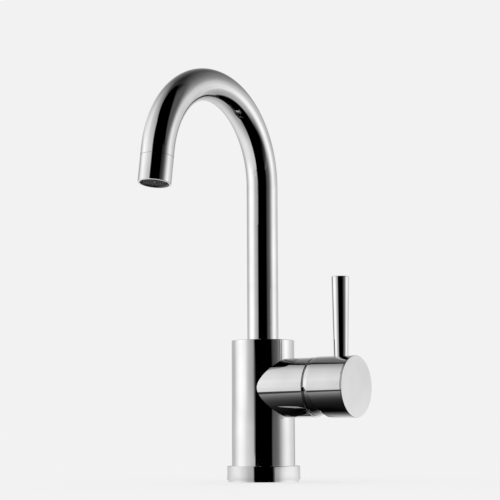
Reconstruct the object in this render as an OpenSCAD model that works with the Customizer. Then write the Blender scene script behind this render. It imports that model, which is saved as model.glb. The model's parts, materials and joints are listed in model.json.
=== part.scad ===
// Single lever basin mixer tap: a round column with a swivelling arched spout,
// and a side branch that holds a ceramic disc cartridge and its lever handle.
// Millimetres. The origin is the centre of the column's underside, +Z is up,
// the spout reaches towards -Y and the side branch points along +X.

/* [Column] */
// Diameter of the column
body_d = 44; // [43:0.5:50]
// Height of the column above the basin
body_h = 98; // [96:1:120]
// Rounding of the column's top edge
body_edge_r = 0.4; // [0.2:0.1:1]
// Wall of the base ring
ring_wall = 3.45; // [2:0.05:6]
// Height of the base ring
ring_h = 11; // [6:0.5:20]
// Rounding of the base ring's foot
ring_foot_r = 1.2; // [0.2:0.1:1.8]
// Rounding of the base ring's top edge
ring_top_r = 0.4; // [0.2:0.1:1.5]
// Mean diameter of the seal under the column
seal_d = 37; // [34:0.5:40]
// Thickness of the seal's round section
seal_section_d = 2; // [1:0.2:3]

/* [Connections from below] */
// Bore of the two hose inlets, for an M10 by 1 thread
inlet_bore_d = 9; // [8:0.1:10]
// Depth of the inlet threads
inlet_depth = 14; // [8:1:20]
// Distance between the two inlets
inlet_spacing = 17; // [16:0.5:20]
// How far the inlets sit from the column's axis, towards the branch
inlet_x = 4; // [3:0.5:5]
// Bore of the waterways above the inlets
feed_d = 6; // [4:0.2:6.4]
// Bore for the fixing stud, for an M8 thread
stud_bore_d = 6.8; // [5:0.1:8.5]
// Depth of the stud's thread
stud_depth = 16; // [8:1:24]
// Distance from the column's axis to the fixing stud, away from the branch
stud_x = 10; // [8:0.5:13]

/* [Spout] */
// Outer diameter of the spout tube
spout_d = 22; // [20:0.5:24]
// Wall of the spout tube
spout_wall = 1.2; // [0.8:0.1:2]
// Radius of the bend at the tube's centre line
bend_r = 62.5; // [40:0.5:100]
// Height at which the bend starts
bend_start_z = 206.5; // [150:0.5:300]
// How far the bend turns
bend_angle = 171; // [120:1:180]
// Straight length of the tube between the bend and the collar
neck_l = 5; // [5:0.5:40]
// How far the spout swings to each side
spout_swing = 60; // [20:5:90]

/* [Spout swivel] */
// Depth of the spout's socket in the column
socket_depth = 21.5; // [21:0.5:24]
// Running gap between the swivel stub and its socket
socket_gap = 0.3; // [0.2:0.05:0.5]
// Running gap between a slide ring or seal and what turns in it
slide_gap = 0.05; // [0.02:0.01:0.1]
// Wall of the upper slide ring
slide_ring_wall = 1.4; // [0.8:0.1:2]
// Height of the upper slide ring
slide_ring_h = 4.5; // [2:0.5:5]
// Thickness of the lower slide ring
thrust_ring_t = 1.2; // [0.6:0.1:1.4]
// Depth of the grooves for the seals in the stub
groove_depth = 1.7; // [1:0.1:2]
// Bore of the stub
stub_bore_d = 13; // [8:0.5:15]
// Diameter of the set screw behind the column
set_screw_d = 5; // [4:0.5:6]

/* [Outlet] */
// Length of the aerator collar
collar_l = 18; // [14:0.5:19]
// Width of the seam between tube and collar
collar_seam = 0.2; // [0.1:0.05:0.5]
// Wall of the collar at its mouth
collar_wall = 1.3; // [1:0.1:2]
// How far the aerator's face sits inside the collar
aerator_recess = 0.8; // [0.2:0.1:2]
// Depth of the aerator insert
aerator_l = 7; // [5:0.5:8]
// Number of rings in the aerator's face
aerator_rings = 4; // [2:1:5]
// Number of spokes in the aerator's face
aerator_spokes = 8; // [3:1:12]

/* [Branch] */
// Diameter of the side branch
branch_d = 41; // [40.5:0.25:42]
// Height of the branch's axis
branch_z = 64.5; // [58:0.5:66]
// Distance from the column's axis to the branch's end
branch_l = 43.6; // [42:0.2:60]
// Rounding of the branch's end
branch_edge_r = 0.4; // [0.2:0.1:0.8]

/* [Cartridge] */
// Diameter of the ceramic cartridge
cartridge_d = 35; // [34:0.25:35.5]
// Depth of the cartridge's chamber, from the branch's end
chamber_depth = 28.6; // [28:0.2:30]
// Gap between the cartridge and its chamber
chamber_gap = 0.2; // [0.1:0.05:0.4]
// Length of the cartridge's housing, from the chamber's floor to its shoulder
housing_l = 23; // [22.5:0.1:24]
// Length of the housing's collar beyond the shoulder
housing_collar_l = 6; // [5:0.1:6.5]
// Distance from the chamber's floor to the lever's pivot
pivot_depth = 26.5; // [26:0.1:27.5]
// Thickness of the cartridge's base
base_t = 4.5; // [3.5:0.1:4.5]
// Thickness of the fixed ceramic disc
fixed_disc_t = 3.5; // [3:0.1:3.5]
// Thickness of the moving ceramic disc
moving_disc_t = 3.2; // [2.6:0.1:3.2]
// Distance from the pivot to the ball that drives the moving disc
ball_arm = 9.5; // [8.5:0.1:9.8]
// Diameter of the driving ball
ball_d = 5.6; // [4.6:0.1:6]
// Side of the square stem
stem_side = 8; // [6:0.1:8.4]
// Diameter of the stem's pin
pin_d = 3; // [2:0.1:4]

/* [Handle] */
// Diameter of the knob
knob_d = 42; // [41:0.25:44]
// Length of the knob with its cap
knob_l = 29.8; // [28:0.2:40]
// Width of the seam between the branch and the knob
knob_seam = 1.7; // [0.8:0.1:2]
// Wall of the knob's hollow rear part
knob_wall = 1; // [0.8:0.1:1.4]
// Depth of the knob's hollow
knob_hollow = 15; // [14:0.5:17]
// How far the lever tilts from closed to fully open
tilt_max = 25; // [15:1:28]
// Gap between the knob's slanted cut and the branch at full tilt
relief_gap = 2.2; // [1:0.1:3]
// Gap between the knob and the cover dome
dome_gap = 0.35; // [0.25:0.05:0.8]
// Wall of the cover dome
dome_wall = 1.2; // [0.8:0.1:1.5]
// How far the cover dome reaches beyond the branch
dome_l = 9.6; // [8:0.2:10]
// Thickness of the cap on the knob's face
cap_t = 0.7; // [0.5:0.1:2]
// Width of the seam behind the cap
cap_seam = 0.2; // [0.1:0.05:0.4]
// Diameter of the notch for prying off the cap
notch_d = 1.2; // [0.6:0.1:2]
// Distance from the knob's face to the lever
lever_setback = 11.9; // [10:0.1:14]
// Height of the lever's tip above the branch's axis
lever_top = 75.2; // [50:0.2:120]
// Diameter of the lever at its root
lever_root_d = 9.9; // [8:0.1:11]
// Diameter of the lever at its tip
lever_tip_d = 12.1; // [8:0.1:16]
// Rounding of the lever's tip
lever_edge_r = 0.5; // [0.2:0.1:1.5]

/* [Hidden] */
$fn = 96;
arc_steps = 5;    // straight pieces in a small rounding
dome_steps = 12;  // straight pieces in the cover dome's curve
fit = 0.05;       // gap between pieces that are fixed to each other
flat_gap = 0.1;   // gap between flat sides that slide
cut = 1;          // how far a cut runs past the face that it opens

// colours of the materials
chrome = [0.86, 0.87, 0.88];
brass = [0.80, 0.66, 0.36];
steel = [0.62, 0.63, 0.65];
rubber = [0.08, 0.08, 0.08];
white_plastic = [0.93, 0.93, 0.91];
grey_plastic = [0.45, 0.46, 0.48];
red_plastic = [0.75, 0.12, 0.10];
ceramic = [0.95, 0.94, 0.90];

// column
body_r = body_d / 2;
ring_bore_r = body_r + fit;
seal_groove_gap = 0.2;
port_start = 1;     // how far past the inlets' line the level ports begin

// swivel, as heights above the basin
spout_r = spout_d / 2;
tube_bore_r = spout_r - spout_wall;
socket_r = spout_r + socket_gap;
socket_z = body_h - socket_depth;
stub_z = socket_z + thrust_ring_t;
stub_spigot_l = 5;
groove_floor_r = spout_r - groove_depth;
o_ring_r = (socket_r - slide_gap - groove_floor_r) / 2;
o_ring_land = 1.4;
groove_slack = 0.4;
o_ring_groove_h = 2 * o_ring_r + groove_slack;
o_ring_z = [
    stub_z + o_ring_land + o_ring_groove_h / 2,
    stub_z + 2 * o_ring_land + 1.5 * o_ring_groove_h,
];
screw_tip_r = 1.2;
screw_groove_h = 2 * screw_tip_r + groove_slack;
screw_groove_land = 1.1;
screw_z = o_ring_z[1] + o_ring_groove_h / 2 + screw_groove_land + screw_groove_h / 2;
screw_tip_end_r = groove_floor_r + groove_slack;
screw_body_gap = 0.3;
screw_sunk = 1;
stub_rim_h = 0.9;
stub_step_z = screw_z + screw_groove_h / 2 + stub_rim_h;
swing_slack = 1.5;
swing_half = spout_swing + swing_slack + asin(screw_tip_r / screw_tip_end_r);
mouth_l = 1.8;
slide_ring_z = body_h - mouth_l - slide_ring_h;
slide_ring_split = 1;

// spout outlet
outlet_lean = 180 - bend_angle;
tail_l = neck_l + collar_l;
tail_step = 0.02;   // the straight end's wall is this much thicker on each side
tail_lap = 0.3;     // how far it laps over the bend's end
outlet_y = -bend_r + bend_r * cos(bend_angle) - tail_l * sin(bend_angle);
outlet_z = bend_start_z + bend_r * sin(bend_angle) + tail_l * cos(bend_angle);
nipple_r = tube_bore_r - fit;
nipple_wall = 1.6;
nipple_grip = 4.5;  // how far the nipple reaches into the tube
mouth_r = spout_r - collar_wall;
collar_edge_r = 0.3;
insert_r = mouth_r - fit;
washer_t = 1;
washer_w = 2;
insert_top = aerator_recess + aerator_l;
nipple_start = insert_top + washer_t;
screen_t = 0.5;
screen_rows = 3;
mesh_pitch = 2.3;
mesh_hole_d = 1.5;
rim_w = 1.1;
face_ring_w = 0.5;
face_ring_h = 2.2;
spoke_setback = 0.8;
sieve_t = 1;
hub_r = 1.2;

// moving disc and its driver
disc_travel = ball_arm * tilt_max * PI / 180;
disc_drop = 1.5;
disc_r = 11.5;
pocket_r = 6.3;
pocket_drop = 4.2;
pocket_depth = 1.6;
driver_flange_t = 2;
driver_half = 5.5;
driver_l = 7.8;
driver_gap = 0.2;
window_slack = 0.3;
ball_slack = 0.2;
stem_neck_r = 2;
stem_square_back = 5;
stem_slot_up = 7;
pin_sunk = 1;

// branch and cartridge, as distances from the column's axis
branch_r = branch_d / 2;
cartridge_r = cartridge_d / 2;
chamber_r = cartridge_r + chamber_gap;
thread_depth = 0.75;
thread_r = chamber_r + thread_depth;
floor_x = branch_l - chamber_depth;
pivot_x = floor_x + pivot_depth;
fixed_x = floor_x + base_t;
moving_x = fixed_x + fixed_disc_t;
driver_x = moving_x + moving_disc_t;
housing_wall = 2.4;
housing_bore_r = cartridge_r - housing_wall;
shoulder_x = floor_x + housing_l;
shoulder_t = 1;
collar_x = shoulder_x + housing_collar_l;
limit_ring_t = 2;
limit_teeth = 24;
tooth_r = 0.5;
neck_r = 10.5;
carrier_r = housing_bore_r - slide_gap;
carrier_x = driver_x + driver_flange_t + driver_gap;
carrier_flange_end = shoulder_x - shoulder_t - flat_gap;
carrier_proud = 0.5;
carrier_end = collar_x + limit_ring_t + carrier_proud;
housing_collar_r = 13;
nut_gap = 0.25;
nut_bore_r = housing_collar_r + nut_gap;
nut_slots = 6;
slot_w = 3;
slot_depth = 1.5;
slot_reach = 2;
dome_skirt_l = 2.2;
dome_skirt_wall = 1.2;
dome_lip_t = 0.9;
skirt_x = branch_l - dome_skirt_l;
nut_l = skirt_x - nut_gap - shoulder_x;

// ports, as [across, up] from the branch's axis
inlet_port = [6.2, 4.3];
outlet_port = [0, -8];
port_r = 2.1;
port_gap = 0.3;
port_seal_r = 0.7;
port_seal_mean_r = 3.5;
waterway_r = 5;
key_pin_r = 1.5;
key_pin_l = 2;
key_pin_gap = 0.2;
key_pin_place = [9.5, -4];

// knob, as distances from the column's axis
knob_r = knob_d / 2;
knob_rear_x = branch_l + knob_seam;
face_x = knob_rear_x + knob_l;
knob_front_x = face_x - cap_t - cap_seam;
hollow_r = knob_r - knob_wall;
relief_x = pivot_x + (branch_l + relief_gap - pivot_x) / cos(tilt_max);
rear_taper_l = 2.6;
rear_taper = 0.15;
knob_edge_r = 0.3;
cap_edge_r = 0.4;
cap_spigot_r = 16;
cap_spigot_l = 2.2;
screw_head_r = 4.25;
screw_head_l = 4;
screw_r = 2.5;
screw_l = 12;
screw_gap = 0.3;
key_width = 4;
key_depth = 2.4;
head_gap = 0.2;
screw_seat_x = knob_front_x - cap_spigot_l - screw_head_l - head_gap;
hub_web_t = 2.4;
stem_end_x = screw_seat_x - hub_web_t;
hub_gap = 6.5;
hub_end_x = carrier_end + hub_gap;
sleeve_r = 7;
notch_up = 8.6;
dome_r = norm([knob_rear_x - pivot_x, hollow_r]) - dome_gap;
dome_bore_r = dome_r - dome_wall;
dome_end_x = branch_l + dome_l;

// lever, measured up from the branch's axis
lever_x = face_x - lever_setback;
lever_seat_depth = 3.5;
lever_seat = knob_r - lever_seat_depth;
lever_tenon_r = 3;
lever_tenon_l = 8;
lever_tenon_gap = 0.5;
lever_straight_l = 0.6;
lever_taper_start = knob_r + lever_straight_l;

// points of a rounding about [x, y], from angle a to angle b
function arc(x, y, r, a, b, steps = arc_steps) =
    [for (i = [0:steps]) let (t = a + (b - a) * i / steps) [x + r * cos(t), y + r * sin(t)]];

// angle from the pivot's plane at which a sphere of radius r about the pivot meets the plane at x
function ball_angle(r, x) = asin((x - pivot_x) / r);

// stands a shape on the branch's axis, with its own z along +X
module on_branch(x = 0) {
    translate([x, 0, branch_z]) rotate([0, 90, 0]) children();
}

// moves a shape across and up from the branch's axis, inside on_branch
module at_port(place) {
    translate([-place[1], place[0], 0]) children();
}

// copies a port for the hot and the cold side
module both_sides() {
    for (side = [-1, 1]) at_port([side * inlet_port[0], inlet_port[1]]) children();
}

// stands a shape on the outlet's centre, with its own z up into the spout
module at_outlet(z = 0) {
    translate([0, outlet_y, outlet_z]) rotate([-outlet_lean, 0, 0]) translate([0, 0, z]) children();
}

// flat ring with its underside at z = 0
module washer(r_out, r_in, h) {
    rotate_extrude() translate([r_in, 0]) square([r_out - r_in, h]);
}

// round section ring, centred on z = 0
module o_ring(mean_r, section_r) {
    rotate_extrude() translate([mean_r, 0]) circle(r = section_r, $fn = 24);
}

// round bar with a rounded upper edge
module rounded_bar(r, h, edge_r) {
    rotate_extrude() polygon(concat(
        [[0, 0], [r, 0]],
        arc(r - edge_r, h - edge_r, edge_r, 0, 90),
        [[0, h]]));
}

// socket that takes the spout, and the waterway under it
module spout_socket() {
    translate([0, 0, socket_z]) cylinder(r = socket_r, h = socket_depth + cut);
    translate([0, 0, slide_ring_z - fit])
        cylinder(r = spout_r + slide_gap + slide_ring_wall + fit, h = slide_ring_h + 2 * fit);
    waterway_z = branch_z + outlet_port[1];
    translate([0, 0, waterway_z]) cylinder(r = waterway_r, h = socket_z - waterway_z + cut);
}

// chamber that takes the cartridge, and the ports in its floor
module cartridge_chamber() {
    on_branch(floor_x) cylinder(r = chamber_r, h = chamber_depth + cut);
    on_branch(shoulder_x) cylinder(r = thread_r, h = branch_l - shoulder_x + cut);
    on_branch(0) at_port(outlet_port) cylinder(r = port_r + port_gap, h = floor_x + cut);
    on_branch(inlet_x + port_start) both_sides() cylinder(r = port_r + port_gap, h = floor_x - inlet_x);
    on_branch(floor_x - key_pin_l) key_pins(port_gap);
}

// hose inlets and stud hole in the underside
module connections_from_below() {
    feed_top = branch_z + inlet_port[1] + port_r;
    for (side = [-1, 1]) translate([inlet_x, side * inlet_spacing / 2, 0]) {
        translate([0, 0, -cut]) cylinder(d = inlet_bore_d, h = inlet_depth + cut);
        cylinder(d = feed_d, h = feed_top);
    }
    translate([-stud_x, 0, -cut]) cylinder(d = stud_bore_d, h = stud_depth + cut);
}

// two pins that key the cartridge to the chamber's floor
module key_pins(gap = 0) {
    for (side = [-1, 1]) at_port([side * key_pin_place[0], key_pin_place[1]])
        cylinder(r = key_pin_r + gap, h = key_pin_l + cut);
}

module body_column() color(chrome) difference() {
    union() {
        rounded_bar(body_r, body_h, body_edge_r);
        on_branch() rounded_bar(branch_r, branch_l, branch_edge_r);
    }
    spout_socket();
    cartridge_chamber();
    connections_from_below();
    translate([0, 0, screw_z]) rotate([-90, 0, 0]) cylinder(d = set_screw_d + 2 * fit, h = body_r + cut);
    translate([0, 0, -cut]) washer(
        seal_d / 2 + seal_section_d / 2 + seal_groove_gap,
        seal_d / 2 - seal_section_d / 2 - seal_groove_gap,
        seal_section_d + cut);
}

module base_ring() color(chrome)
    rotate_extrude() polygon(concat(
        [[ring_bore_r, 0]],
        arc(ring_bore_r + ring_wall - ring_foot_r, ring_foot_r, ring_foot_r, -90, 0),
        arc(ring_bore_r + ring_wall - ring_top_r, ring_h - ring_top_r, ring_top_r, 0, 90),
        [[ring_bore_r, ring_h]]));

module base_seal() color(rubber)
    translate([0, 0, seal_section_d / 2]) o_ring(seal_d / 2, seal_section_d / 2);

// grub screw behind the column; its tip runs in the stub's groove
module spout_set_screw() color(steel) translate([0, 0, screw_z]) rotate([-90, 0, 0]) difference() {
    union() {
        translate([0, 0, screw_tip_end_r])
            cylinder(r = screw_tip_r, h = body_r - screw_sunk - screw_tip_end_r);
        translate([0, 0, socket_r + screw_body_gap])
            cylinder(d = set_screw_d, h = body_r - screw_sunk - socket_r - screw_body_gap);
    }
    translate([0, 0, body_r - screw_sunk - key_depth])
        cylinder(d = set_screw_d / 2 / cos(30), h = key_depth + cut, $fn = 6);
}

module lower_slide_ring() color(white_plastic)
    translate([0, 0, socket_z]) washer(spout_r, stub_bore_d / 2, thrust_ring_t);

module upper_slide_ring() color(white_plastic) difference() {
    translate([0, 0, slide_ring_z])
        washer(spout_r + slide_gap + slide_ring_wall, spout_r + slide_gap, slide_ring_h);
    translate([-slide_ring_split / 2, 0, slide_ring_z - cut])
        cube([slide_ring_split, body_r, slide_ring_h + 2 * cut]);
}

module spout_tube() color(chrome) {
    tube_z = stub_step_z + fit;
    translate([0, 0, tube_z]) washer(spout_r, tube_bore_r, bend_start_z - tube_z);
    translate([0, -bend_r, bend_start_z]) rotate([0, 90, 0]) rotate([0, 0, 90])
        rotate_extrude(angle = bend_angle) translate([bend_r, 0]) difference() {
            circle(r = spout_r);
            circle(r = tube_bore_r);
        }
    at_outlet(collar_l) washer(spout_r + tail_step, tube_bore_r - tail_step, neck_l + tail_lap);
}

// part of a groove in the stub, on the set screw's side
module screw_groove() {
    rotate([0, 0, 90 - swing_half]) rotate_extrude(angle = 2 * swing_half)
        translate([groove_floor_r, screw_z - screw_groove_h / 2])
            square([groove_depth + cut, screw_groove_h]);
}

module spout_stub() color(brass) difference() {
    union() {
        translate([0, 0, stub_z]) cylinder(r = spout_r, h = stub_step_z - stub_z);
        translate([0, 0, stub_step_z - cut]) cylinder(r = tube_bore_r - fit, h = stub_spigot_l + cut);
    }
    translate([0, 0, stub_z - cut])
        cylinder(d = stub_bore_d, h = stub_step_z - stub_z + stub_spigot_l + 2 * cut);
    for (z = o_ring_z) translate([0, 0, z - o_ring_groove_h / 2])
        washer(spout_r + cut, groove_floor_r, o_ring_groove_h);
    screw_groove();
}

module spout_o_rings() color(rubber)
    for (z = o_ring_z) translate([0, 0, z]) o_ring(groove_floor_r + o_ring_r, o_ring_r);

module outlet_nipple() color(brass) at_outlet(nipple_start)
    washer(nipple_r, nipple_r - nipple_wall, collar_l + nipple_grip - nipple_start);

module aerator_collar() color(chrome) at_outlet() rotate_extrude() polygon(concat(
    [[mouth_r, 0]],
    arc(spout_r - collar_edge_r, collar_edge_r, collar_edge_r, -90, 0),
    [
        [spout_r, collar_l - collar_seam],
        [nipple_r + fit, collar_l - collar_seam],
        [nipple_r + fit, nipple_start],
        [mouth_r, nipple_start],
    ]));

module aerator_washer() color(rubber) at_outlet(insert_top)
    washer(insert_r, insert_r - washer_w, washer_t);

// fine steel mesh that lies on the aerator insert
module aerator_screen() color(steel) at_outlet(insert_top - screen_t) difference() {
    cylinder(r = insert_r - rim_w - fit, h = screen_t);
    for (i = [-screen_rows:screen_rows], j = [-screen_rows:screen_rows])
        if (abs(i + j) <= screen_rows)
            translate([mesh_pitch * (i + j / 2), mesh_pitch * j * sin(60), -cut])
                cylinder(d = mesh_hole_d, h = screen_t + 2 * cut, $fn = 16);
}

// plastic insert: a rim, a sieve plate and the rings and spokes of its face
module aerator_insert() color(grey_plastic) at_outlet(aerator_recess) {
    difference() {
        cylinder(r = insert_r, h = aerator_l);
        translate([0, 0, -cut]) cylinder(r = insert_r - rim_w, h = face_ring_h + cut);
        translate([0, 0, face_ring_h + sieve_t]) cylinder(r = insert_r - rim_w, h = aerator_l);
    }
    pitch = (insert_r - rim_w - hub_r) / (aerator_rings + 1);
    cylinder(r = hub_r, h = face_ring_h);
    for (k = [1:aerator_rings])
        washer(hub_r + k * pitch + face_ring_w / 2, hub_r + k * pitch - face_ring_w / 2, face_ring_h);
    for (k = [0:aerator_spokes - 1]) rotate([0, 0, k * 360 / aerator_spokes])
        translate([0, -face_ring_w / 2, spoke_setback])
            cube([insert_r - rim_w / 2, face_ring_w, face_ring_h - spoke_setback]);
}

module cartridge_base() color(grey_plastic) difference() {
    union() {
        on_branch(floor_x) cylinder(r = cartridge_r, h = base_t);
        on_branch(floor_x - key_pin_l + key_pin_gap) key_pins();
    }
    on_branch(floor_x - cut) {
        both_sides() cylinder(r = port_r, h = base_t + 2 * cut);
        at_port(outlet_port) cylinder(r = port_r, h = base_t + 2 * cut);
        both_sides() seal_groove();
        at_port(outlet_port) seal_groove();
    }
}

module seal_groove() {
    half_w = port_seal_r + fit;
    washer(port_seal_mean_r + half_w, port_seal_mean_r - half_w, 2 * port_seal_r + cut);
}

module port_seals() color(rubber) on_branch(floor_x + port_seal_r) {
    both_sides() o_ring(port_seal_mean_r, port_seal_r);
    at_port(outlet_port) o_ring(port_seal_mean_r, port_seal_r);
}

module fixed_disc() color(ceramic) on_branch(fixed_x) difference() {
    cylinder(r = housing_bore_r - fit, h = fixed_disc_t);
    translate([0, 0, -cut]) {
        both_sides() cylinder(r = port_r, h = fixed_disc_t + 2 * cut);
        at_port(outlet_port) cylinder(r = port_r, h = fixed_disc_t + 2 * cut);
    }
}

// the pocket in its face joins the ports when the disc slides up
module moving_disc() color(ceramic) on_branch(moving_x) difference() {
    at_port([0, -disc_drop]) cylinder(r = disc_r, h = moving_disc_t);
    at_port([0, -pocket_drop]) translate([0, 0, -cut]) cylinder(r = pocket_r, h = pocket_depth + cut);
}

module disc_driver() color(grey_plastic) on_branch(driver_x) difference() {
    union() {
        at_port([0, -disc_drop]) cylinder(r = disc_r, h = driver_flange_t);
        translate([-driver_half, -driver_half, 0]) cube([2 * driver_half, 2 * driver_half, driver_l]);
    }
    ball_half = ball_d / 2 + ball_slack;
    ball_bottom = pivot_x - ball_arm - driver_x - ball_half;
    translate([-ball_half, -ball_half, ball_bottom]) cube([2 * ball_half, 2 * ball_half, driver_l]);
}

module cartridge_housing() color(white_plastic) on_branch() difference() {
    union() {
        translate([0, 0, fixed_x]) cylinder(r = cartridge_r, h = shoulder_x - fixed_x);
        translate([0, 0, shoulder_x - cut]) cylinder(r = housing_collar_r, h = housing_collar_l + cut);
    }
    translate([0, 0, fixed_x - cut])
        cylinder(r = housing_bore_r, h = shoulder_x - shoulder_t - fixed_x + cut);
    translate([0, 0, shoulder_x - shoulder_t - cut])
        cylinder(r = neck_r + slide_gap, h = shoulder_t + housing_collar_l + 2 * cut);
}

// turns with the handle; guides the disc driver and holds the stem's pin
module stem_carrier() color(white_plastic) on_branch() difference() {
    union() {
        translate([0, 0, carrier_x]) cylinder(r = carrier_r, h = carrier_flange_end - carrier_x);
        translate([0, 0, carrier_flange_end - cut])
            cylinder(r = neck_r, h = carrier_end - carrier_flange_end + cut);
    }
    window_half = driver_half + flat_gap;
    window_end = driver_x + driver_l + 2 * driver_gap;
    window_l = 2 * (driver_half + window_slack) + disc_travel;
    translate([-driver_half - disc_travel - window_slack, -window_half, carrier_x - cut])
        cube([window_l, 2 * window_half, window_end - carrier_x + cut]);
    stem_half = stem_side / 2 + flat_gap;
    translate([-stem_slot_up, -stem_half, carrier_x])
        cube([2 * stem_slot_up, 2 * stem_half, carrier_end - carrier_x + cut]);
    translate([0, 0, pivot_x]) rotate([90, 0, 0])
        cylinder(d = pin_d + 2 * fit, h = 2 * (neck_r + cut), center = true);
}

module stem_pin() color(steel) on_branch(pivot_x) rotate([90, 0, 0])
    cylinder(d = pin_d, h = 2 * (neck_r - pin_sunk), center = true);

// toothed ring that sets how far the handle may turn towards hot
module limit_ring() color(red_plastic) on_branch(collar_x) difference() {
    washer(housing_collar_r, neck_r + port_gap, limit_ring_t);
    for (k = [1:limit_teeth]) rotate([0, 0, k * 360 / limit_teeth]) translate([housing_collar_r, 0, -cut])
        cylinder(r = tooth_r, h = limit_ring_t + 2 * cut, $fn = 16);
}

module cartridge_nut() color(brass) on_branch(shoulder_x) difference() {
    washer(thread_r - fit, nut_bore_r, nut_l);
    for (k = [0:nut_slots - 1]) rotate([0, 0, k * 360 / nut_slots])
        translate([nut_bore_r - cut, -slot_w / 2, nut_l - slot_depth])
            cube([cut + slot_reach, slot_w, slot_depth + cut]);
}

// chrome cover over the cartridge, round about the lever's pivot; its skirt screws into the branch
// and leaves a groove as wide as the knob's seam
module cover_dome() color(chrome) {
    skirt_r = thread_r - fit;
    inside_x = knob_rear_x + dome_lip_t;
    outer_angles = [ball_angle(dome_r, knob_rear_x), ball_angle(dome_r, dome_end_x)];
    inner_angles = [ball_angle(dome_bore_r, dome_end_x), ball_angle(dome_bore_r, inside_x)];
    on_branch() rotate_extrude() polygon(concat(
        [[skirt_r - dome_skirt_wall, skirt_x], [skirt_r, skirt_x], [skirt_r, knob_rear_x]],
        arc(0, pivot_x, dome_r, outer_angles[0], outer_angles[1], dome_steps),
        arc(0, pivot_x, dome_bore_r, inner_angles[0], inner_angles[1], dome_steps),
        [[skirt_r - dome_skirt_wall, inside_x]]));
}

// square stem with the ball that moves the disc driver
module cartridge_stem() color(brass) on_branch() difference() {
    union() {
        translate([0, 0, pivot_x - ball_arm]) sphere(d = ball_d);
        translate([0, 0, pivot_x - ball_arm])
            cylinder(r = stem_neck_r, h = ball_arm - stem_square_back + cut);
        translate([-stem_side / 2, -stem_side / 2, pivot_x - stem_square_back])
            cube([stem_side, stem_side, stem_end_x - pivot_x + stem_square_back]);
    }
    translate([0, 0, pivot_x]) rotate([90, 0, 0])
        cylinder(d = pin_d + 2 * slide_gap, h = 2 * stem_side, center = true);
    translate([0, 0, screw_seat_x - screw_l - cut]) cylinder(r = screw_r + fit, h = screw_l + 2 * cut);
}

// outline of the knob, turned about the branch's axis
module knob_outline() {
    rotate_extrude() polygon(concat(
        [[0, knob_rear_x], [knob_r - rear_taper, knob_rear_x], [knob_r, knob_rear_x + rear_taper_l]],
        arc(knob_r - knob_edge_r, knob_front_x - knob_edge_r, knob_edge_r, 0, 90),
        [[0, knob_front_x]]));
}

// everything behind the slanted cut that lets the knob tilt
module tilt_relief() {
    translate([0, 0, relief_x]) rotate([0, -tilt_max, 0])
        translate([0, -knob_r - cut, -2 * knob_r]) cube([2 * knob_r, 2 * (knob_r + cut), 2 * knob_r]);
}

module handle_knob() color(chrome) on_branch() difference() {
    knob_outline();
    difference() {
        translate([0, 0, knob_rear_x - cut]) cylinder(r = hollow_r, h = knob_hollow + cut);
        translate([0, 0, hub_end_x]) cylinder(r = sleeve_r, h = knob_hollow);
    }
    tilt_relief();
    socket_half = stem_side / 2 + fit;
    translate([-socket_half, -socket_half, hub_end_x - cut])
        cube([2 * socket_half, 2 * socket_half, stem_end_x + fit - hub_end_x + cut]);
    cylinder(r = screw_r + screw_gap, h = face_x);
    translate([0, 0, screw_seat_x]) cylinder(r = screw_head_r + screw_gap, h = knob_l);
    translate([0, 0, knob_front_x - cap_spigot_l - fit]) cylinder(r = cap_spigot_r + fit, h = knob_l);
    seat_depth = lever_seat_depth + cut;
    translate([-knob_r - cut, 0, lever_x]) rotate([0, 90, 0]) {
        cylinder(d = lever_root_d + 2 * fit, h = seat_depth);
        cylinder(r = lever_tenon_r + fit, h = seat_depth + lever_tenon_l + lever_tenon_gap);
    }
    pry_notch();
}

// half round notch in the knob's front edge
module pry_notch() {
    notch_across = sqrt(knob_r * knob_r - notch_up * notch_up);
    translate([-notch_up, -notch_across, knob_front_x]) sphere(d = notch_d);
}

module handle_screw() color(steel) on_branch(screw_seat_x) difference() {
    union() {
        cylinder(r = screw_head_r, h = screw_head_l);
        translate([0, 0, -screw_l]) cylinder(r = screw_r, h = screw_l);
    }
    translate([0, 0, screw_head_l - key_depth])
        cylinder(d = key_width / cos(30), h = key_depth + cut, $fn = 6);
}

module knob_cap() color(chrome) on_branch() rotate_extrude() polygon(concat(
    [[0, knob_front_x - cap_spigot_l], [cap_spigot_r, knob_front_x - cap_spigot_l]],
    [[cap_spigot_r, face_x - cap_t], [knob_r, face_x - cap_t]],
    arc(knob_r - cap_edge_r, face_x - cap_edge_r, cap_edge_r, 0, 90),
    [[0, face_x]]));

module lever_rod() color(chrome) translate([lever_x, 0, branch_z]) rotate_extrude() polygon(concat(
    [
        [0, lever_seat - lever_tenon_l],
        [lever_tenon_r, lever_seat - lever_tenon_l],
        [lever_tenon_r, lever_seat],
        [lever_root_d / 2, lever_seat],
        [lever_root_d / 2, lever_taper_start],
    ],
    arc(lever_tip_d / 2 - lever_edge_r, lever_top - lever_edge_r, lever_edge_r, 0, 90),
    [[0, lever_top]]));

body_column();
base_ring();
base_seal();
spout_set_screw();
lower_slide_ring();
upper_slide_ring();
spout_tube();
spout_stub();
spout_o_rings();
outlet_nipple();
aerator_collar();
aerator_washer();
aerator_screen();
aerator_insert();
cartridge_base();
port_seals();
fixed_disc();
moving_disc();
disc_driver();
cartridge_housing();
stem_carrier();
stem_pin();
limit_ring();
cartridge_nut();
cover_dome();
cartridge_stem();
handle_knob();
handle_screw();
knob_cap();
lever_rod();
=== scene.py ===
import json
import math

import bpy
from mathutils import Matrix, Vector

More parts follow.
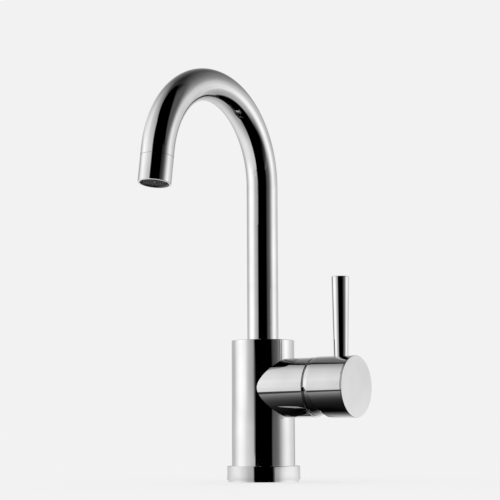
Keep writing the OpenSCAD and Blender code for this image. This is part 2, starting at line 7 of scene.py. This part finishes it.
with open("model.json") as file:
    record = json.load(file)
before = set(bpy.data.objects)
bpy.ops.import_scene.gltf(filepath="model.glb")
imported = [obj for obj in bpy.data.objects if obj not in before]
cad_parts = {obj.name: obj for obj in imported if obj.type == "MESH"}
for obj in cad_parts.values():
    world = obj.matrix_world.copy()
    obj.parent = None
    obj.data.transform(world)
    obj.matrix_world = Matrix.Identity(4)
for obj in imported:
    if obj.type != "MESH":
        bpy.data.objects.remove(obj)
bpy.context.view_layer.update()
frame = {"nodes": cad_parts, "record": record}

# Camera, fitted to the photograph: place in metres, turns in degrees, lens and sensor in millimetres
CAMERA_PLACE = Vector((0.63364, -0.98089, 0.03207))
CAMERA_AZIMUTH = 33.292
CAMERA_PITCH = 6.352
CAMERA_ROLL = -0.272
CAMERA_LENS = 119.82
SENSOR_WIDTH = 36.0
CLIP_END = 100.0

# Chrome: the gloss noise in waves per metre, the range of it that counts, and the plate's grey and roughness at
# both ends of that range; then the polishing wheel's waves per metre and their height in metres
GLOSS_SCALE = 55.0
GLOSS_RANGE = (0.3, 0.7)
CHROME_GREY = (0.60, 0.66)
CHROME_ROUGHNESS = (0.015, 0.045)
POLISH_SCALE = 38.0
POLISH_HEIGHT = 0.00002

# Turned metal: grain in waves per metre, its height in metres, and how far the roughness varies with it
TURNED_SCALE = 900.0
TURNED_HEIGHT = 0.00003
TURNED_VARIATION = 0.08

# Moulded plastic and rubber, and fired ceramic: the same, with a slow change of tone
TONE_SCALE = 90.0
MOULDED_SCALE = 1400.0
MOULDED_HEIGHT = 0.00002
MOULDED_VARIATION = 0.06
CERAMIC_SCALE = 2600.0
CERAMIC_HEIGHT = 0.000005

# Levels of light, where 1 is white: the background that shows, and the soft light on everything
BACKGROUND_LEVEL = 0.888
FILL_LEVEL = 1.03

# Floor: its rim in metres and the rim's sides, its grey, and the share of the plain background laid over its
# shading, which rises with the distance from the tap in metres
FLOOR_RADIUS = 12.0
FLOOR_SIDES = 96
FLOOR_GREY = 0.872
PLAIN_SHARES = (0.72, 1.0)
PLAIN_RANGE = (0.15, 1.0)

# Studio round the tap, in metres, with the dome's rows in degrees of height. Only the metal shows it, and the
# camera doesn't.
STUDIO_RADIUS = 1.6
STUDIO_SIDES = 180
DOME_HEIGHTS = [0.5 * k for k in range(6)] + [3.0 * k for k in range(1, 31)]
CARD_RADII = (0.001, 0.02, 0.1, 0.4, STUDIO_RADIUS)
CARD_HEIGHT = 0.0001
# The studio's maps count a full turn from 0 to 1, and the camera stands at this place in it
CAMERA_TURN = 0.5

# Levels of light are lists of (degrees from the camera towards the picture's right, level).
# The studio's wall: a large soft light on the left, a black flag round the camera, a narrow light on the right
WALL_LEVELS = [
    (-180, 0.80), (-145, 0.61), (-130, 0.74), (-122, 0.88), (-115, 1.17), (-100, 1.50), (-92, 1.58), (-85, 1.58),
    (-70, 1.37), (-56, 0.80), (-34, 0.50), (-30, 0.0), (29, 0.0), (34, 0.07), (50, 0.15), (57, 0.25), (64, 0.48),
    (80, 1.22), (88, 1.50), (93, 1.50), (100, 1.40), (112, 1.08), (147, 0.70), (180, 0.80),
]
# The foot of the wall
FOOT_LEVELS = [
    (-180, 0.62), (-155, 0.60), (-130, 0.79), (-100, 1.47), (-92, 1.50), (-78, 1.37), (-62, 1.01), (-32.8, 0.69),
    (-31, 0.05), (-29.5, 0.0), (29, 0.0), (33, 0.14), (50, 0.20), (57, 0.30), (80, 1.12), (90, 1.31), (98, 1.38),
    (125, 1.03), (140, 0.94), (150, 0.56), (180, 0.62),
]
# The upper wall and the ceiling
HIGH_LEVELS = [
    (-180, 1.15), (-162, 1.40), (-150, 1.60), (-138, 1.48), (-126, 1.36), (-102, 1.50), (-90, 1.44), (-54, 0.98),
    (-36, 0.80), (-30, 0.0), (48, 0.0), (66, 0.33), (78, 0.55), (86, 1.05), (93, 1.38), (102, 1.40), (138, 1.30),
    (150, 0.95), (162, 0.80), (180, 1.15),
]
# Heights in degrees between which the foot changes into the wall, and the wall into its upper part
FOOT_RANGE = (1.5, 4.0)
HIGH_RANGE = (22.0, 30.0)
# Least light on the right side, a dim grey by direction, and its share by height in degrees
GREY_LEVELS = [(-180, 0.0), (44, 0.0), (53, 0.13), (180, 0.13)]
GREY_SHARES = [(0, 0.0), (22, 0.0), (28, 1.0), (55, 1.0), (64, 0.75), (76, 0.05), (80, 0.0), (90, 0.0)]
# The black flag's left edge, in degrees, and how far it moves left for each degree over the height FLAG_BEND
FLAG_EDGE = (-37.0, -29.0)
FLAG_BEND = 50.0
FLAG_TURN = 1.2
# Share of the wall's light, by the height in degrees over the floor, on the left and on the right
LEFT_SHARES = [(0, 1.0), (28, 0.99), (36, 0.93), (43, 0.86), (54, 0.67), (64, 0.40), (70, 0.25), (78, 0.05), (90, 0.02)]
RIGHT_SHARES = [(0, 1.0), (14, 1.0), (23, 0.78), (33, 0.43), (41, 0.28), (51, 0.19), (60, 0.12), (78, 0.03)]
# How far the right side's shares hold instead of the left side's, by the direction
SIDE_SHARES = [
    (-180, 1.0), (-150, 1.0), (-138, 0.70), (-126, 0.35), (-110, 0.10), (-90, 0.0), (0, 0.0), (40, 1.0), (180, 1.0),
]

# The studio's floor, as the arch sees it from above: light by direction, its share by the distance from the tap,
# and the distance from which it changes into the wall's light
ARCH_LEVELS = [
    (-180, 0.80), (-168, 0.93), (-132, 1.10), (-89, 1.22), (-71, 1.12), (-25, 0.75), (-10, 0.0), (57, 0.0),
    (82, 0.60), (91, 0.66), (126, 0.52), (167, 0.62), (180, 0.80),
]
ARCH_SHARES = [(0.067, 0.47), (0.117, 0.62), (0.175, 0.80), (0.25, 0.95), (0.36, 1.0)]
ARCH_END = 0.5
# Edges of the black board under the tap: on the left along x, on the right across the picture.
# Behind the tap the left edge turns away to the left, from BOARD_BEND along y and by BOARD_TURN per metre.
BOARD_LEFT = (0.007, 0.019)
BOARD_BEND = 0.05
BOARD_TURN = 0.33
BOARD_RIGHT = (0.265, 0.335)

# The same floor as the branch and the knob see it: light by the distance from a point under the branch, and its
# share by the place across the picture
NEAR_POINT = Vector((0.02, 0.0, 0.0))
NEAR_LEVELS = [
    (0.0, 0.0), (0.02, 0.006), (0.03, 0.018), (0.045, 0.028), (0.055, 0.040), (0.068, 0.054), (0.084, 0.084),
    (0.105, 0.143), (0.127, 0.22), (0.148, 0.28), (0.174, 0.36), (0.25, 0.42),
]
NEAR_ACROSS = [(-0.04, 1.0), (0.0, 0.65), (0.03, 0.36), (0.10, 0.08), (0.20, 0.03)]
# Light behind the tap, along y. It is full right of the column along x, or further behind along y, and has its
# least share elsewhere.
BACK_LEVELS = [(0.0, 0.0), (0.007, 0.045), (0.014, 0.12), (0.024, 0.24), (0.036, 0.44), (0.06, 0.70), (0.09, 0.85)]
BACK_START = (0.012, 0.021)
BACK_BEHIND = (0.045, 0.075)
BACK_LEAST = 0.05
# Near the tap it reaches only what is as high as the branch, by the start's height and the place's distance
BACK_RISE = (0.040, 0.044)
BACK_NEAR = (0.08, 0.14)
# Distance over which this floor gives way to the light of the wall's foot
NEAR_END = (0.20, 0.32)
# Dark gap between this floor and the light on the left: its level, the share of light at its edges across the
# picture, the width in which the floor changes into that light, and where the gap ends behind the tap, counted
# towards the camera
GAP_LEVEL = 0.065
GAP_EDGES = [(-0.27, 1.0), (-0.25, 0.0), (-0.16, 0.0), (-0.15, 1.0)]
GAP_WIDTH = (-0.25, -0.16)
GAP_END = (-0.10, -0.01)

# The same floor as the base ring sees it, almost level: light by the ray's direction, its share by the distance,
# and the distance beyond which the light of the wall's foot holds
RING_LEVELS = [
    (-180, 0.80), (-160, 0.87), (-145, 0.76), (-100, 1.28), (-85, 1.30), (-60, 0.92), (-50, 0.70), (-33, 0.59),
    (-30.5, 0.05), (-29, 0.0), (28, 0.0), (33, 0.12), (35.5, 0.48), (50, 0.70), (57, 0.95), (64, 1.10), (72, 1.24),
    (80, 1.28), (100, 1.29), (125, 1.08), (140, 0.83), (155, 0.73), (180, 0.80),
]
RING_SHARES = [(0.0, 1.0), (0.03, 1.0), (0.05, 0.86), (0.08, 0.86), (0.125, 0.91), (0.175, 0.97), (0.25, 1.0)]
RING_END = 0.6
# A ray has turned further from the camera than the place where it lands: by this part of the ring's radius over
# the distance. To the sides that fades out, in degrees from the camera.
RING_RADIUS = 0.0255
RING_TURN = 0.5
RING_FRONT = (75.0, 110.0)

# Heights in metres at which the mirrored ray starts: below RING_TOP the ring's floor holds, and over ARCH_RANGE
# the branch's floor changes into the arch's
RING_TOP = 0.0112
ARCH_RANGE = (0.10, 0.19)


def toward(degrees):
    """Level direction at that angle from the camera, seen from the tap; positive is the picture's right."""
    turn = math.radians(CAMERA_AZIMUTH + degrees)
    return Vector((math.sin(turn), -math.cos(turn), 0.0))


def make_camera():
    """Camera of the photograph: a level turn, then the pitch, then the small roll."""
    azimuth, pitch = math.radians(CAMERA_AZIMUTH), math.radians(CAMERA_PITCH)
    right = Vector((math.cos(azimuth), math.sin(azimuth), 0.0))
    ahead = Vector((-math.sin(azimuth) * math.cos(pitch), math.cos(azimuth) * math.cos(pitch), math.sin(pitch)))
    up = right.cross(ahead)
    turn = Matrix((right, up, -ahead)).transposed() @ Matrix.Rotation(math.radians(CAMERA_ROLL), 3, "Z")
    data = bpy.data.cameras.new("camera")
    data.lens = CAMERA_LENS
    data.sensor_width = SENSOR_WIDTH
    data.clip_end = CLIP_END
    camera = bpy.data.objects.new("camera", data)
    camera.matrix_world = Matrix.Translation(CAMERA_PLACE) @ turn.to_4x4()
    bpy.context.scene.collection.objects.link(camera)
    bpy.context.scene.camera = camera


class Nodes:
    """A material's or world's node tree, with short calls to add nodes and join them."""

    def __init__(self, owner):
        owner.use_nodes = True
        self.tree = owner.node_tree
        self.tree.nodes.clear()

    def add(self, kind, inputs=None, **settings):
        """Adds a node. Its inputs, by name or number, take a value or another node's output."""
        node = self.tree.nodes.new("ShaderNode" + kind)
        for name, value in settings.items():
            setattr(node, name, value)
        for name, value in (inputs or {}).items():
            if isinstance(value, bpy.types.NodeSocket):
                self.tree.links.new(value, node.inputs[name])
            else:
                node.inputs[name].default_value = value
        return node

    def math(self, operation, *values):
        return self.add("Math", dict(enumerate(values)), operation=operation).outputs[0]

    def measured(self, operation, *vectors):
        """Number that a vector operation gives, such as a length."""
        return self.add("VectorMath", dict(enumerate(vectors)), operation=operation).outputs["Value"]

    def mixed(self, share, first, second):
        """Value between two others."""
        return self.math("MULTIPLY_ADD", self.math("SUBTRACT", second, first), share, first)

    def spread(self, value, low, high, from_low=0.0, from_high=1.0):
        """Maps a value's range to another range."""
        return self.add("MapRange", {0: value, 1: from_low, 2: from_high, 3: low, 4: high}).outputs[0]

    def rise(self, value, low, high):
        """0 up to low and 1 from high on."""
        return self.spread(value, 0.0, 1.0, low, high)

    def fall(self, value, low, high):
        """1 up to low and 0 from high on."""
        return self.spread(value, 1.0, 0.0, low, high)

    def ramp(self, value, stops):
        """Colour ramp with stops of (place, grey level)."""
        node = self.add("ValToRGB", {"Fac": value})
        elements = node.color_ramp.elements
        for place, _ in stops[2:]:
            elements.new(place)
        for element, (place, level) in zip(sorted(elements, key=lambda e: e.position), stops):
            element.position = place
            element.color = (level, level, level, 1.0)
        return node.outputs["Color"]

    def level_ramp(self, share, levels, low, high):
        """Ramp of (place, level) pairs, with places from low to high and levels that may pass 1. The share says
        from 0 to 1 how far between low and high the place is."""
        peak = max(level for _, level in levels)
        stops = [((place - low) / (high - low), level / peak) for place, level in levels]
        return self.math("MULTIPLY", self.ramp(share, stops), peak)

    def by_turn(self, turn, levels):
        """Ramp over the degrees from the camera that the pairs name."""
        return self.level_ramp(turn, levels, -180.0, 180.0)

    def by_height(self, height, levels):
        """Ramp over the degrees of height that the pairs name."""
        return self.level_ramp(height, levels, 0.0, 90.0)

    def by_length(self, length, levels):
        """Ramp over the metres that the pairs name."""
        low, high = levels[0][0], levels[-1][0]
        return self.level_ramp(self.rise(length, low, high), levels, low, high)

    def noise(self, scale, detail):
        """Noise in object coordinates, in waves per metre."""
        place = self.add("TexCoord").outputs["Object"]
        return self.add("TexNoise", {"Vector": place, "Scale": scale, "Detail": detail}).outputs["Fac"]

    def bump(self, height, distance):
        """Bump from a height between 0 and 1, distance metres tall."""
        return self.add("Bump", {"Height": height, "Distance": distance}).outputs["Normal"]

    def finish_surface(self, shader):
        self.add("OutputMaterial", {"Surface": shader.outputs[0]})

    def finish_light(self, level):
        self.finish_surface(self.add("Emission", {"Color": (1.0, 1.0, 1.0, 1.0), "Strength": level}))


def chrome_material():
    """Polished chrome plate: faint waves of the polishing wheel and a trace of uneven gloss."""
    material = bpy.data.materials.new("polished_chrome")
    nodes = Nodes(material)
    gloss = nodes.noise(GLOSS_SCALE, detail=3.0)
    waves = nodes.noise(POLISH_SCALE, detail=1.0)
    nodes.finish_surface(nodes.add("BsdfPrincipled", {
        "Base Color": nodes.ramp(gloss, list(zip(GLOSS_RANGE, CHROME_GREY))),
        "Metallic": 1.0,
        "Roughness": nodes.spread(gloss, *CHROME_ROUGHNESS, *GLOSS_RANGE),
        "Normal": nodes.bump(waves, POLISH_HEIGHT),
    }))
    return material


def turned_metal_material(name, low, high, roughness):
    """Machined metal with fine turning marks."""
    material = bpy.data.materials.new(name)
    nodes = Nodes(material)
    grain = nodes.noise(TURNED_SCALE, detail=4.0)
    tone = nodes.add("MixRGB", {"Fac": grain, "Color1": (*low, 1.0), "Color2": (*high, 1.0)})
    nodes.finish_surface(nodes.add("BsdfPrincipled", {
        "Base Color": tone.outputs[0],
        "Metallic": 1.0,
        "Roughness": nodes.spread(grain, roughness - TURNED_VARIATION, roughness + TURNED_VARIATION),
        "Normal": nodes.bump(grain, TURNED_HEIGHT),
    }))
    return material


def moulded_material(name, low, high, roughness, grain_scale=MOULDED_SCALE, grain_height=MOULDED_HEIGHT):
    """Moulded plastic, rubber or fired ceramic: a fine grain over a slow change of tone."""
    material = bpy.data.materials.new(name)
    nodes = Nodes(material)
    cloud = nodes.noise(TONE_SCALE, detail=2.0)
    grain = nodes.noise(grain_scale, detail=2.0)
    tone = nodes.add("MixRGB", {"Fac": cloud, "Color1": (*low, 1.0), "Color2": (*high, 1.0)})
    nodes.finish_surface(nodes.add("BsdfPrincipled", {
        "Base Color": tone.outputs[0],
        "Roughness": nodes.spread(grain, roughness - MOULDED_VARIATION, roughness + MOULDED_VARIATION),
        "Normal": nodes.bump(grain, grain_height),
    }))
    return material


def finish_nodes():
    """Gives each piece of the tap the material of its slot."""
    finishes = {
        "chrome": chrome_material(),
        "brass": turned_metal_material("turned_brass", (0.72, 0.54, 0.26), (0.84, 0.67, 0.38), 0.30),
        "steel": turned_metal_material("turned_steel", (0.50, 0.51, 0.52), (0.64, 0.65, 0.66), 0.32),
        "rubber": moulded_material("black_rubber", (0.012, 0.012, 0.012), (0.03, 0.03, 0.03), 0.65),
        "white_plastic": moulded_material("white_acetal", (0.80, 0.80, 0.77), (0.88, 0.88, 0.86), 0.40),
        "grey_plastic": moulded_material("grey_acetal", (0.018, 0.019, 0.020), (0.034, 0.035, 0.037), 0.42),
        "red_plastic": moulded_material("red_acetal", (0.45, 0.02, 0.02), (0.55, 0.04, 0.03), 0.40),
        "ceramic": moulded_material("fired_ceramic", (0.82, 0.80, 0.74), (0.88, 0.87, 0.82), 0.22,
                                    CERAMIC_SCALE, CERAMIC_HEIGHT),
    }
    slots = {part["node"]: part["material_slot"] for part in frame["record"]["subparts"]}
    for name, node in frame["nodes"].items():
        node.data.materials.clear()
        node.data.materials.append(finishes[slots[name]])


def shown_share(nodes):
    """1 for the rays that show the background, in the picture, in metal or through glass, and 0 for soft light."""
    path = nodes.add("LightPath").outputs
    direct = nodes.math("MAXIMUM", path["Is Camera Ray"], path["Is Glossy Ray"])
    return nodes.math("MAXIMUM", direct, path["Is Transmission Ray"])


def make_world():
    """Even soft light from all round, and the plain pale background."""
    world = bpy.data.worlds.new("studio_world")
    bpy.context.scene.world = world
    nodes = Nodes(world)
    level = nodes.spread(shown_share(nodes), FILL_LEVEL, BACKGROUND_LEVEL)
    background = nodes.add("Background", {"Color": (1.0, 1.0, 1.0, 1.0), "Strength": level})
    nodes.add("OutputWorld", {"Surface": background.outputs[0]})


def stage_mesh(name, points, faces, material):
    """Mesh that belongs to the stage and not to the tap."""
    mesh = bpy.data.meshes.new(name)
    mesh.from_pydata(points, [], faces)
    mesh.materials.append(material)
    thing = bpy.data.objects.new(name, mesh)
    bpy.context.scene.collection.objects.link(thing)
    return thing


def make_floor():
    """Pale floor that keeps the tap's soft shadow and runs into the background without an edge."""
    material = bpy.data.materials.new("pale_floor")
    nodes = Nodes(material)
    pale = nodes.add("BsdfDiffuse", {"Color": (FLOOR_GREY, FLOOR_GREY, FLOOR_GREY, 1.0)})
    glow = nodes.add("Emission", {"Color": (1.0, 1.0, 1.0, 1.0), "Strength": BACKGROUND_LEVEL})
    away = nodes.measured("LENGTH", nodes.add("TexCoord").outputs["Object"])
    share = nodes.math("MULTIPLY", shown_share(nodes), nodes.spread(away, *PLAIN_SHARES, *PLAIN_RANGE))
    nodes.finish_surface(nodes.add("MixShader", {0: share, 1: pale.outputs[0], 2: glow.outputs[0]}))
    rim = [FLOOR_RADIUS * toward(k * 360.0 / FLOOR_SIDES) for k in range(FLOOR_SIDES)]
    stage_mesh("floor", rim, [tuple(range(FLOOR_SIDES))], material)


def studio_mesh(name, rows, material):
    """Studio piece over rows of (share, radius, height), each once round the tap. Its uv map holds the turn and
    the row's share. It is hidden from the camera and from soft light, so that only gloss shows it."""
    points, marks, faces = [], [], []
    for share, radius, height in rows:
        for k in range(STUDIO_SIDES + 1):
            turn = k / STUDIO_SIDES
            points.append(radius * toward(360.0 * turn - 180.0) + Vector((0.0, 0.0, height)))
            marks.append((turn, share))
    for row in range(len(rows) - 1):
        for k in range(STUDIO_SIDES):
            corner = row * (STUDIO_SIDES + 1) + k
            above = corner + STUDIO_SIDES + 1
            faces.append((corner, corner + 1, above + 1, above))
    thing = stage_mesh(name, points, faces, material)
    layer = thing.data.uv_layers.new(name="place")
    for loop in thing.data.loops:
        layer.data[loop.index].uv = marks[loop.vertex_index]
    thing.visible_camera = False
    thing.visible_diffuse = False
    thing.visible_shadow = False


def studio_nodes(name):
    """Material of a studio piece, its nodes, and the turn and share from its uv map."""
    material = bpy.data.materials.new(name)
    material.cycles.emission_sampling = "NONE"
    nodes = Nodes(material)
    split = nodes.add("SeparateXYZ", {0: nodes.add("UVMap", uv_map="place").outputs[0]})
    return material, nodes, split.outputs["X"], split.outputs["Y"]


def make_dome():
    """Studio's wall and ceiling in one: softboxes on both sides that fade upwards, black round the camera."""
    material, nodes, turn, height = studio_nodes("studio_dome")
    above_foot, above_wall = (nodes.rise(height, low / 90.0, high / 90.0) for low, high in (FOOT_RANGE, HIGH_RANGE))
    wall = nodes.mixed(above_foot, nodes.by_turn(turn, FOOT_LEVELS), nodes.by_turn(turn, WALL_LEVELS))
    wall = nodes.mixed(above_wall, wall, nodes.by_turn(turn, HIGH_LEVELS))
    left, right = nodes.by_height(height, LEFT_SHARES), nodes.by_height(height, RIGHT_SHARES)
    level = nodes.math("MULTIPLY", wall, nodes.mixed(nodes.by_turn(turn, SIDE_SHARES), left, right))
    climb = nodes.math("MAXIMUM", nodes.math("SUBTRACT", height, FLAG_BEND / 90.0), 0.0)
    moved = nodes.math("MULTIPLY_ADD", climb, FLAG_TURN * 90.0 / 360.0, turn)
    flag = nodes.fall(moved, *(CAMERA_TURN + degrees / 360.0 for degrees in FLAG_EDGE))
    lit = nodes.math("MAXIMUM", flag, nodes.math("GREATER_THAN", turn, CAMERA_TURN))
    grey = nodes.math("MULTIPLY", nodes.by_turn(turn, GREY_LEVELS), nodes.by_height(height, GREY_SHARES))
    nodes.finish_light(nodes.math("MAXIMUM", nodes.math("MULTIPLY", level, lit), grey))
    rows = []
    for degrees in DOME_HEIGHTS:
        angle = math.radians(degrees)
        rows.append((degrees / 90.0, STUDIO_RADIUS * math.cos(angle), STUDIO_RADIUS * math.sin(angle)))
    studio_mesh("studio_dome", rows, material)


def arch_floor(nodes, turn, away, axes, across):
    """Floor from high above: bright on the left, black under and right of the tap, soft light behind on the right."""
    near = nodes.math("MULTIPLY", nodes.by_turn(turn, ARCH_LEVELS), nodes.by_length(away, ARCH_SHARES))
    level = nodes.mixed(nodes.rise(away, ARCH_END, STUDIO_RADIUS), near, nodes.by_turn(turn, WALL_LEVELS))
    behind = nodes.math("MAXIMUM", nodes.math("SUBTRACT", axes["Y"], BOARD_BEND), 0.0)
    left = nodes.fall(nodes.math("MULTIPLY_ADD", behind, BOARD_TURN, axes["X"]), *BOARD_LEFT)
    right = nodes.rise(across, *BOARD_RIGHT)
    return nodes.math("MULTIPLY", level, nodes.math("MAXIMUM", left, right))


def branch_floor(nodes, turn, away, axes, across, ahead, offset, start):
    """Floor from the branch's height: a dark board that gets lighter outwards, a gap, then the left light's foot."""
    foot = nodes.by_turn(turn, FOOT_LEVELS)
    front = nodes.math("MULTIPLY", nodes.by_length(offset, NEAR_LEVELS), nodes.by_length(across, NEAR_ACROSS))
    lit = nodes.math("MAXIMUM", nodes.spread(axes["X"], BACK_LEAST, 1.0, *BACK_START),
                     nodes.rise(axes["Y"], *BACK_BEHIND))
    seen = nodes.math("MAXIMUM", nodes.rise(start, *BACK_RISE), nodes.rise(away, *BACK_NEAR))
    back = nodes.math("MULTIPLY", nodes.by_length(axes["Y"], BACK_LEVELS), nodes.math("MULTIPLY", lit, seen))
    board = nodes.mixed(nodes.rise(away, *NEAR_END), nodes.math("MAXIMUM", front, back), foot)
    level = nodes.mixed(nodes.fall(across, *GAP_WIDTH), board, foot)
    open_share = nodes.math("MAXIMUM", nodes.fall(ahead, *GAP_END), nodes.by_length(across, GAP_EDGES))
    return nodes.mixed(open_share, GAP_LEVEL, level)


def ring_floor(nodes, turn, away):
    """Floor at a grazing angle, and the wall's foot beyond it. Close to the ring each place takes the light of the
    direction that the ray has, and not of the place."""
    bend = nodes.math("DIVIDE", RING_TURN * RING_RADIUS, nodes.math("MAXIMUM", away, RING_RADIUS))
    side = nodes.math("SUBTRACT", turn, CAMERA_TURN)
    front = nodes.fall(nodes.math("ABSOLUTE", side), *(degrees / 360.0 for degrees in RING_FRONT))
    heading = nodes.math("DIVIDE", side, nodes.math("SUBTRACT", 1.0, nodes.math("MULTIPLY", bend, front)))
    near = nodes.math("MULTIPLY", nodes.by_turn(nodes.math("ADD", heading, CAMERA_TURN), RING_LEVELS),
                      nodes.by_length(away, RING_SHARES))
    return nodes.mixed(nodes.math("GREATER_THAN", away, RING_END), near, nodes.by_turn(turn, FOOT_LEVELS))


def make_floor_card():
    """Card on the floor for the metal's reflections. The real floor had gloss, so each height of the tap
    saw other light in it; here the height at which the mirrored ray starts picks that light."""
    material, nodes, turn, share = studio_nodes("floor_card")
    away = nodes.math("MULTIPLY", share, STUDIO_RADIUS)
    place = nodes.add("TexCoord").outputs["Object"]
    axes = nodes.add("SeparateXYZ", {0: place}).outputs
    across = nodes.measured("DOT_PRODUCT", place, toward(90.0))
    ahead = nodes.measured("DOT_PRODUCT", place, toward(0.0))
    offset = nodes.measured("DISTANCE", place, NEAR_POINT)
    steepness = nodes.math("SUBTRACT", 1.0, nodes.add("LayerWeight", {"Blend": 0.5}).outputs["Facing"])
    start = nodes.math("MULTIPLY", nodes.add("LightPath").outputs["Ray Length"], steepness)
    level = nodes.mixed(nodes.rise(start, *ARCH_RANGE),
                        branch_floor(nodes, turn, away, axes, across, ahead, offset, start),
                        arch_floor(nodes, turn, away, axes, across))
    low = nodes.math("LESS_THAN", start, RING_TOP)
    distant = nodes.math("MULTIPLY", nodes.math("GREATER_THAN", away, RING_END),
                         nodes.math("LESS_THAN", start, ARCH_RANGE[0]))
    nodes.finish_light(nodes.mixed(nodes.math("MAXIMUM", low, distant), level, ring_floor(nodes, turn, away)))
    studio_mesh("floor_card", [(radius / STUDIO_RADIUS, radius, CARD_HEIGHT) for radius in CARD_RADII], material)


make_camera()
finish_nodes()
make_world()
make_floor()
make_dome()
make_floor_card()
bpy.context.scene.view_settings.view_transform = "Standard"
